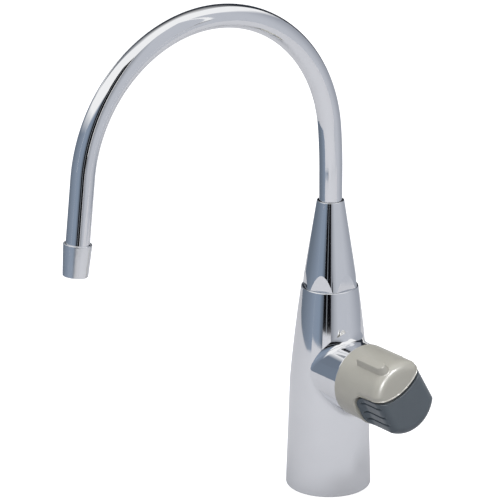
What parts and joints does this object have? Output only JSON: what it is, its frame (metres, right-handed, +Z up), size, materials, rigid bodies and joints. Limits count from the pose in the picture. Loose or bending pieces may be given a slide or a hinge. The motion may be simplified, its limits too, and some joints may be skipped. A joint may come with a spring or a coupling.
{
  "type": "water filter tap",
  "caption": "Chrome deck-mounted drinking-water tap: tapering round body, conical collar, swivelling gooseneck spout and a quarter-turn side knob with a soft grip.",
  "frame": {"origin": "centre of the body's base on the worktop's upper face", "axes": "+Z up along the column's axis, the spout points to -Y, the valve branch and knob point to +X"},
  "size_m": [0.0975, 0.2089, 0.3691],
  "materials": {
    "chrome": "polished chrome plating",
    "brass": "turned brass",
    "steel": "plain stainless steel",
    "seal_rubber": "smooth black rubber",
    "grip_rubber": "matt dark blue-grey soft rubber",
    "knob_plastic": "semi-gloss warm grey moulded plastic",
    "nylon": "natural white nylon",
    "ceramic": "ground white alumina ceramic, opaque"
  },
  "bodies": {
    "tap_body": {"body": "chrome", "spout_collar": "chrome", "mounting_shank": "brass", "lock_nut": "brass", "valve_housing": "brass", "clamp_washer": "steel", "base_gasket": "seal_rubber", "deck_seal": "seal_rubber", "seat_seal": "seal_rubber", "housing_seal": "seal_rubber", "guide_bush": "nylon", "swivel_washer": "nylon", "thrust_washer": "nylon", "fixed_disc": "ceramic"},
    "spout": {"spout_tube": "chrome", "spout_spigot": "brass", "spigot_seals": "seal_rubber", "nozzle_cap": "chrome", "nozzle_seal": "seal_rubber", "nozzle_screen": "steel", "flow_straightener": "nylon"},
    "handle": {"knob_cap": "knob_plastic", "knob_grip": "grip_rubber", "screw_washer": "steel", "knob_screw": "steel", "moving_disc": "ceramic", "spindle": "brass", "spindle_seal": "seal_rubber", "spindle_clip": "steel"}
  },
  "joints": [
    {"name": "spout_swivel", "type": "hinge", "parent": "tap_body", "child": "spout", "pos_m": [0, 0, 0.14], "axis": [0, 0, 1], "continuous": true},
    {"name": "handle_turn", "type": "hinge", "parent": "tap_body", "child": "handle", "pos_m": [0.0313, 0, 0.0742], "axis": [1, 0, 0], "range_deg": [0, 90]}
  ]
}
